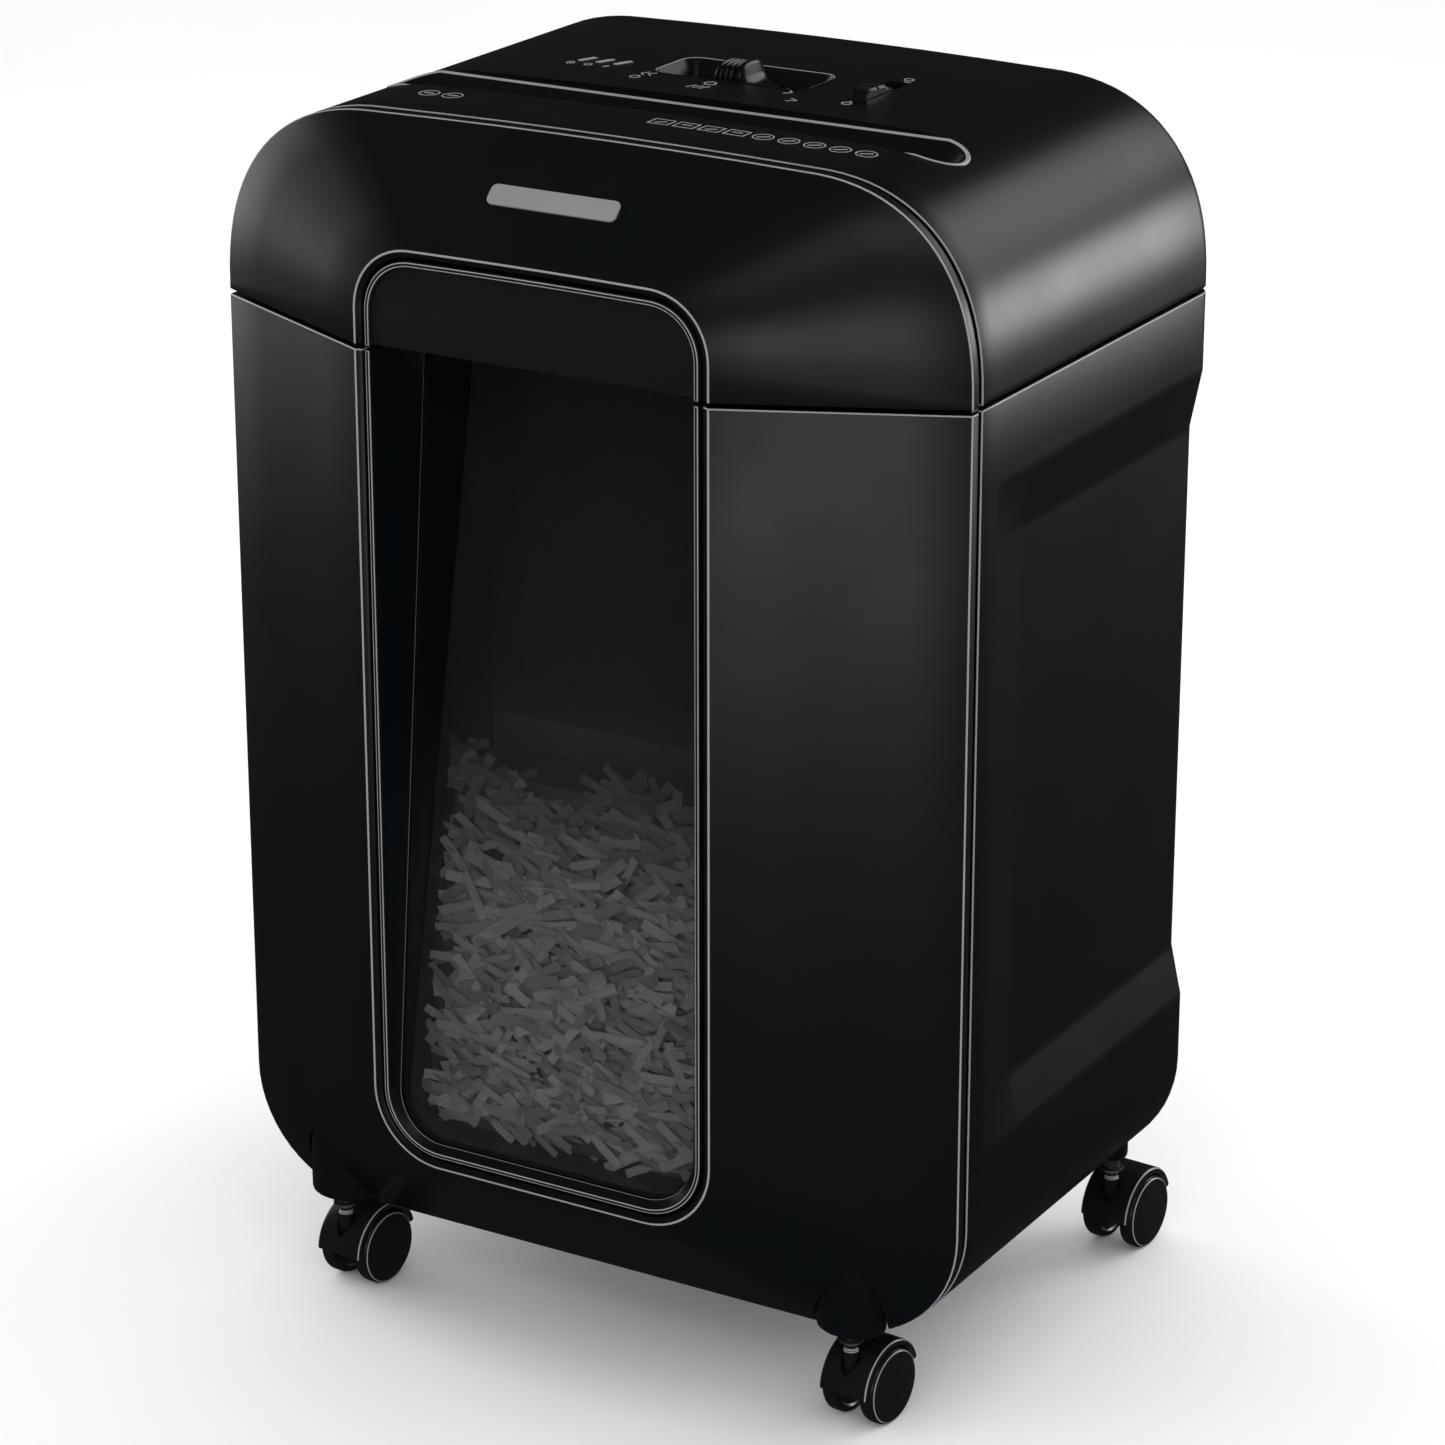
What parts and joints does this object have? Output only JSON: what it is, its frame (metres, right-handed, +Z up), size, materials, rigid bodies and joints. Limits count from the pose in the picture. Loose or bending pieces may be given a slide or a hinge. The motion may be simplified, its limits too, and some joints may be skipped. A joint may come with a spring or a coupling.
{
  "type": "paper shredder",
  "caption": "Office paper shredder with a domed head, a slot for sheets, a slide switch, a full-width pull-out bin with a smoked window, and swivelling castors under its corners.",
  "frame": {"origin": "middle of the footprint, on the floor under the castor wheels", "axes": "+Z up; the front with the window faces -Y; +X is on the right of someone facing the front, the side of the safety lock"},
  "size_m": [0.34, 0.2688, 0.5275],
  "materials": {
    "shell_black": "satin",
    "panel_grey": "satin",
    "gloss_black": "gloss",
    "window_smoked": "gloss",
    "lamp_clear": "gloss",
    "badge_silver": "satin",
    "gland_rubber": "matte",
    "steel": "satin",
    "nylon": "satin",
    "board_green": "satin",
    "paper": "matte",
    "castor_metal": "satin",
    "castor_black": "satin"
  },
  "bodies": {
    "housing": {"cabinet_shell": "shell_black", "head_cover": "shell_black", "head_fascia": "shell_black", "head_centre_panel": "panel_grey", "head_base_plate": "shell_black", "entry_bezel": "shell_black", "throat_guide_front": "steel", "throat_guide_rear": "steel", "switch_dish": "shell_black", "lamp_light_guide": "lamp_clear", "cord_gland": "gland_rubber", "front_badge": "badge_silver", "motor": "steel", "side_plate_left": "steel", "side_plate_right": "steel", "bush_front_left": "nylon", "bush_front_right": "nylon", "bush_rear_left": "nylon", "bush_rear_right": "nylon", "tie_rod_front": "steel", "tie_rod_rear": "steel", "stripper_comb_front": "nylon", "stripper_comb_rear": "nylon", "control_board": "board_green", "bin_switch": "nylon", "castor_front_left_stem": "castor_metal", "castor_front_right_stem": "castor_metal", "castor_rear_left_stem": "castor_metal", "castor_rear_right_stem": "castor_metal"},
    "bin": {"bin_front": "shell_black", "bin_bezel": "shell_black", "window_surround": "gloss_black", "bin_window": "window_smoked", "bin_tub": "shell_black", "paper_shreds": "paper"},
    "control_knob": {"control_knob": "gloss_black"},
    "safety_lock": {"safety_lock_slider": "gloss_black"},
    "cutter_rear": {"cutter_rear": "steel", "cutter_gear_rear": "steel", "drive_gear": "nylon"},
    "cutter_front": {"cutter_front": "steel", "cutter_gear_front": "steel"},
    "idler": {"idler_gear": "nylon"},
    "pinion": {"motor_pinion": "steel"},
    "castor_front_left": {"castor_front_left_hood": "castor_black", "castor_front_left_axle": "castor_metal"},
    "castor_front_left_wheel_left": {"castor_front_left_wheel_left": "castor_black"},
    "castor_front_left_wheel_right": {"castor_front_left_wheel_right": "castor_black"},
    "castor_front_right": {"castor_front_right_hood": "castor_black", "castor_front_right_axle": "castor_metal"},
    "castor_front_right_wheel_left": {"castor_front_right_wheel_left": "castor_black"},
    "castor_front_right_wheel_right": {"castor_front_right_wheel_right": "castor_black"},
    "castor_rear_left": {"castor_rear_left_hood": "castor_black", "castor_rear_left_axle": "castor_metal"},
    "castor_rear_left_wheel_left": {"castor_rear_left_wheel_left": "castor_black"},
    "castor_rear_left_wheel_right": {"castor_rear_left_wheel_right": "castor_black"},
    "castor_rear_right": {"castor_rear_right_hood": "castor_black", "castor_rear_right_axle": "castor_metal"},
    "castor_rear_right_wheel_left": {"castor_rear_right_wheel_left": "castor_black"},
    "castor_rear_right_wheel_right": {"castor_rear_right_wheel_right": "castor_black"}
  },
  "joints": [
    {"name": "bin_slide", "type": "slide", "parent": "housing", "child": "bin", "axis": [0, -1, 0], "range_m": [0, 0.2]},
    {"name": "control_switch", "type": "slide", "parent": "housing", "child": "control_knob", "axis": [1, 0, 0], "range_m": [-0.011, 0.011]},
    {"name": "safety_lock_slide", "type": "slide", "parent": "housing", "child": "safety_lock", "axis": [0, 1, 0], "range_m": [0, 0.01]},
    {"name": "cutter_rear_spin", "type": "hinge", "parent": "housing", "child": "cutter_rear", "pos_m": [0, -0.01637, 0.471], "axis": [1, 0, 0], "continuous": true},
    {"name": "cutter_front_spin", "type": "hinge", "parent": "housing", "child": "cutter_front", "pos_m": [0, -0.04037, 0.471], "axis": [1, 0, 0], "continuous": true},
    {"name": "idler_spin", "type": "hinge", "parent": "housing", "child": "idler", "pos_m": [-0.134, 0.01963, 0.471], "axis": [1, 0, 0], "continuous": true},
    {"name": "pinion_spin", "type": "hinge", "parent": "housing", "child": "pinion", "pos_m": [-0.134, 0.04063, 0.471], "axis": [1, 0, 0], "continuous": true},
    {"name": "castor_front_left_swivel", "type": "hinge", "parent": "housing", "child": "castor_front_left", "pos_m": [-0.124, -0.09567, 0.04], "axis": [0, 0, 1], "continuous": true},
    {"name": "castor_front_left_wheel_left_spin", "type": "hinge", "parent": "castor_front_left", "child": "castor_front_left_wheel_left", "pos_m": [-0.13256, -0.08167, 0.0162], "axis": [0.9962, -0.0872, 0], "continuous": true},
    {"name": "castor_front_left_wheel_right_spin", "type": "hinge", "parent": "castor_front_left", "child": "castor_front_left_wheel_right", "pos_m": [-0.11314, -0.08337, 0.0162], "axis": [0.9962, -0.0872, 0], "continuous": true},
    {"name": "castor_front_right_swivel", "type": "hinge", "parent": "housing", "child": "castor_front_right", "pos_m": [0.124, -0.09567, 0.04], "axis": [0, 0, 1], "continuous": true},
    {"name": "castor_front_right_wheel_left_spin", "type": "hinge", "parent": "castor_front_right", "child": "castor_front_right_wheel_left", "pos_m": [0.11544, -0.08167, 0.0162], "axis": [0.9962, -0.0872, 0], "continuous": true},
    {"name": "castor_front_right_wheel_right_spin", "type": "hinge", "parent": "castor_front_right", "child": "castor_front_right_wheel_right", "pos_m": [0.13486, -0.08337, 0.0162], "axis": [0.9962, -0.0872, 0], "continuous": true},
    {"name": "castor_rear_left_swivel", "type": "hinge", "parent": "housing", "child": "castor_rear_left", "pos_m": [-0.144, 0.10163, 0.04], "axis": [0, 0, 1], "continuous": true},
    {"name": "castor_rear_left_wheel_left_spin", "type": "hinge", "parent": "castor_rear_left", "child": "castor_rear_left_wheel_left", "pos_m": [-0.1528, 0.11547, 0.0162], "axis": [0.9976, -0.0698, 0], "continuous": true},
    {"name": "castor_rear_left_wheel_right_spin", "type": "hinge", "parent": "castor_rear_left", "child": "castor_rear_left_wheel_right", "pos_m": [-0.13335, 0.11411, 0.0162], "axis": [0.9976, -0.0698, 0], "continuous": true},
    {"name": "castor_rear_right_swivel", "type": "hinge", "parent": "housing", "child": "castor_rear_right", "pos_m": [0.144, 0.10163, 0.04], "axis": [0, 0, 1], "continuous": true},
    {"name": "castor_rear_right_wheel_left_spin", "type": "hinge", "parent": "castor_rear_right", "child": "castor_rear_right_wheel_left", "pos_m": [0.1352, 0.11547, 0.0162], "axis": [0.9976, -0.0698, 0], "continuous": true},
    {"name": "castor_rear_right_wheel_right_spin", "type": "hinge", "parent": "castor_rear_right", "child": "castor_rear_right_wheel_right", "pos_m": [0.15465, 0.11411, 0.0162], "axis": [0.9976, -0.0698, 0], "continuous": true}
  ],
  "couplings": [
    {"joint": "cutter_front_spin", "follows": "cutter_rear_spin", "ratio": -1},
    {"joint": "idler_spin", "follows": "cutter_rear_spin", "ratio": -1.4},
    {"joint": "pinion_spin", "follows": "cutter_rear_spin", "ratio": 3.5}
  ]
}
